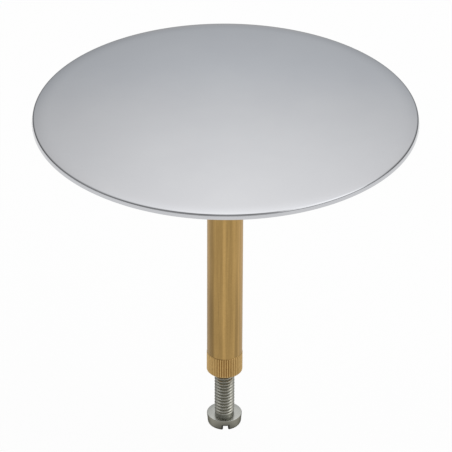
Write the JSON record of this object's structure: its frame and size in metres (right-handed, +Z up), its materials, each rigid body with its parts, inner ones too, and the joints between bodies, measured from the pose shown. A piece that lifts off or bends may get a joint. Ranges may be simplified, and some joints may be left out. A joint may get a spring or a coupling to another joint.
{
  "type": "drain stopper",
  "caption": "Crowned round metal cover on a slim brass stem, with a seal ring beneath it and a knurled lock nut and slotted screw that set how high it stands in a bath drain.",
  "frame": {"origin": "on the stem's axis, in the plane of the seal ring's flat land, which is the drain's valve seat when the stopper is closed", "axes": "+Z up along the stem's axis, from the screw to the cover plate; the screw's driver slot runs about along Y"},
  "size_m": [0.072, 0.072, 0.0704],
  "materials": {
    "polished_chrome": "polished chrome plating",
    "plated_steel": "zinc-plated steel",
    "moulded_acetal": "moulded, fine matt",
    "black_rubber": "moulded rubber, satin",
    "drawn_brass": "drawn rod, dull",
    "knurled_brass": "turned and knurled, bright",
    "stainless_steel": "rolled thread and turned head, satin"
  },
  "bodies": {
    "stopper": {"cover_plate": "polished_chrome", "plate_stud": "plated_steel", "seal_carrier": "moulded_acetal", "seal_ring": "black_rubber", "stem": "drawn_brass"},
    "lock_nut": {"lock_nut": "knurled_brass"},
    "adjusting_screw": {"adjusting_screw": "stainless_steel"}
  },
  "joints": [
    {"name": "nut_travel", "type": "slide", "parent": "stopper", "child": "lock_nut", "axis": [0, 0, -1], "range_m": [0, 0.0035]},
    {"name": "screw_travel", "type": "slide", "parent": "stopper", "child": "adjusting_screw", "axis": [0, 0, -1], "range_m": [-0.0062, 0.0066]}
  ]
}
